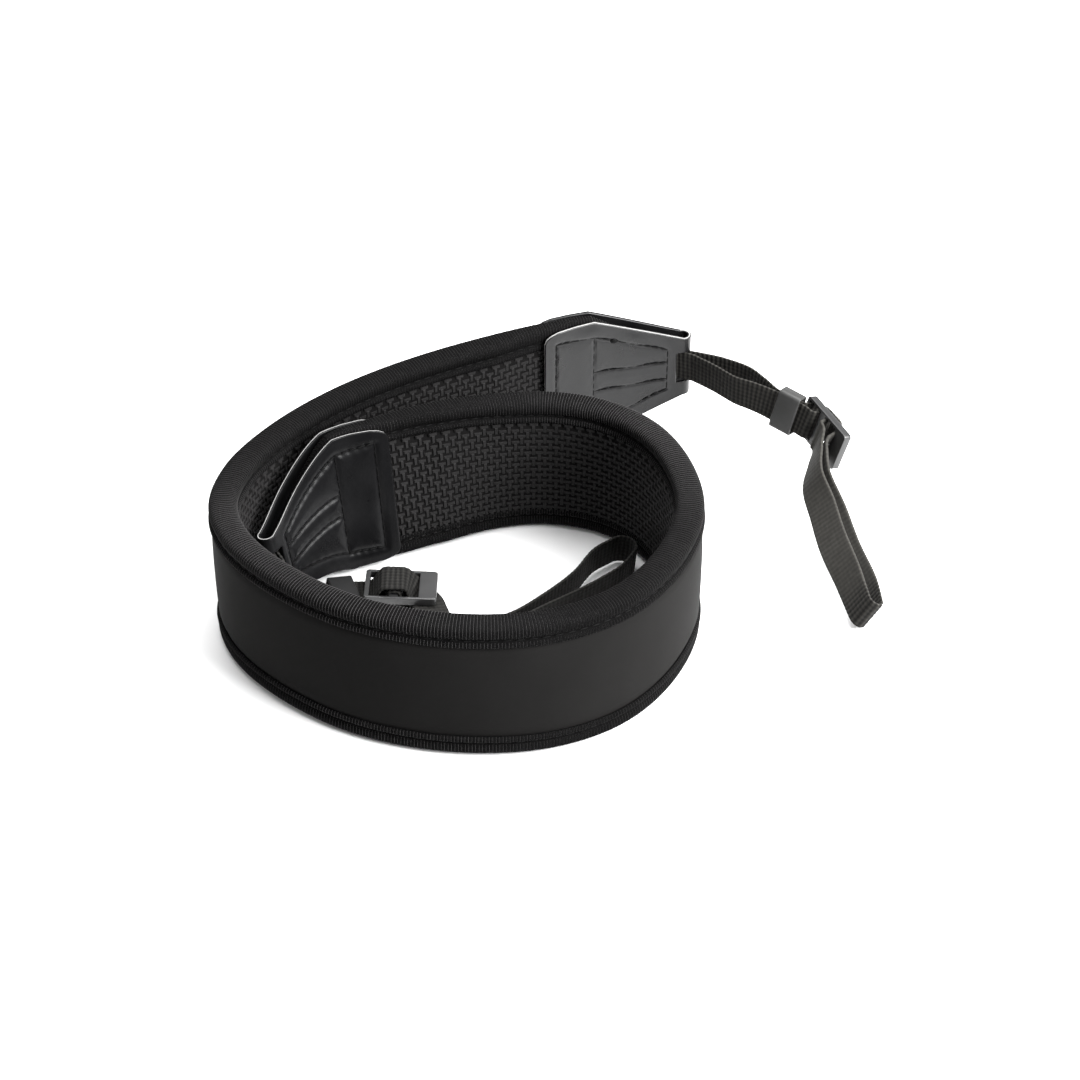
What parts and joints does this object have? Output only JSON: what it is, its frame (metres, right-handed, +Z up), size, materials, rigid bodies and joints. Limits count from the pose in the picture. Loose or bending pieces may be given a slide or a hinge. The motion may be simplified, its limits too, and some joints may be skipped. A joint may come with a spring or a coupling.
{
  "type": "camera neck strap",
  "caption": "Padded camera neck strap standing coiled on its edge, with ribbed bound edges, folded leatherette tabs and looped webbing ends with plastic sliders.",
  "frame": {"origin": "on the surface the strap stands on, under the middle of its bounding box", "axes": "+Z up along the pad's width, +X to the right and +Y away from the viewer as pictured"},
  "size_m": [0.1828, 0.1498, 0.0443],
  "materials": {
    "neoprene": "matte",
    "mesh": "matte",
    "tape": "matte",
    "leatherette": "satin",
    "webbing": "matte",
    "plastic": "satin"
  },
  "bodies": {
    "root": {"outer_panel": "neoprene", "inner_panel": "mesh", "binding_top": "tape", "binding_bottom": "tape", "tab_right": "leatherette", "tab_left": "leatherette", "webbing_right": "webbing", "webbing_left": "webbing", "keeper_right": "plastic", "keeper_left": "plastic", "slider_right": "plastic", "slider_left": "plastic"}
  },
  "joints": []
}
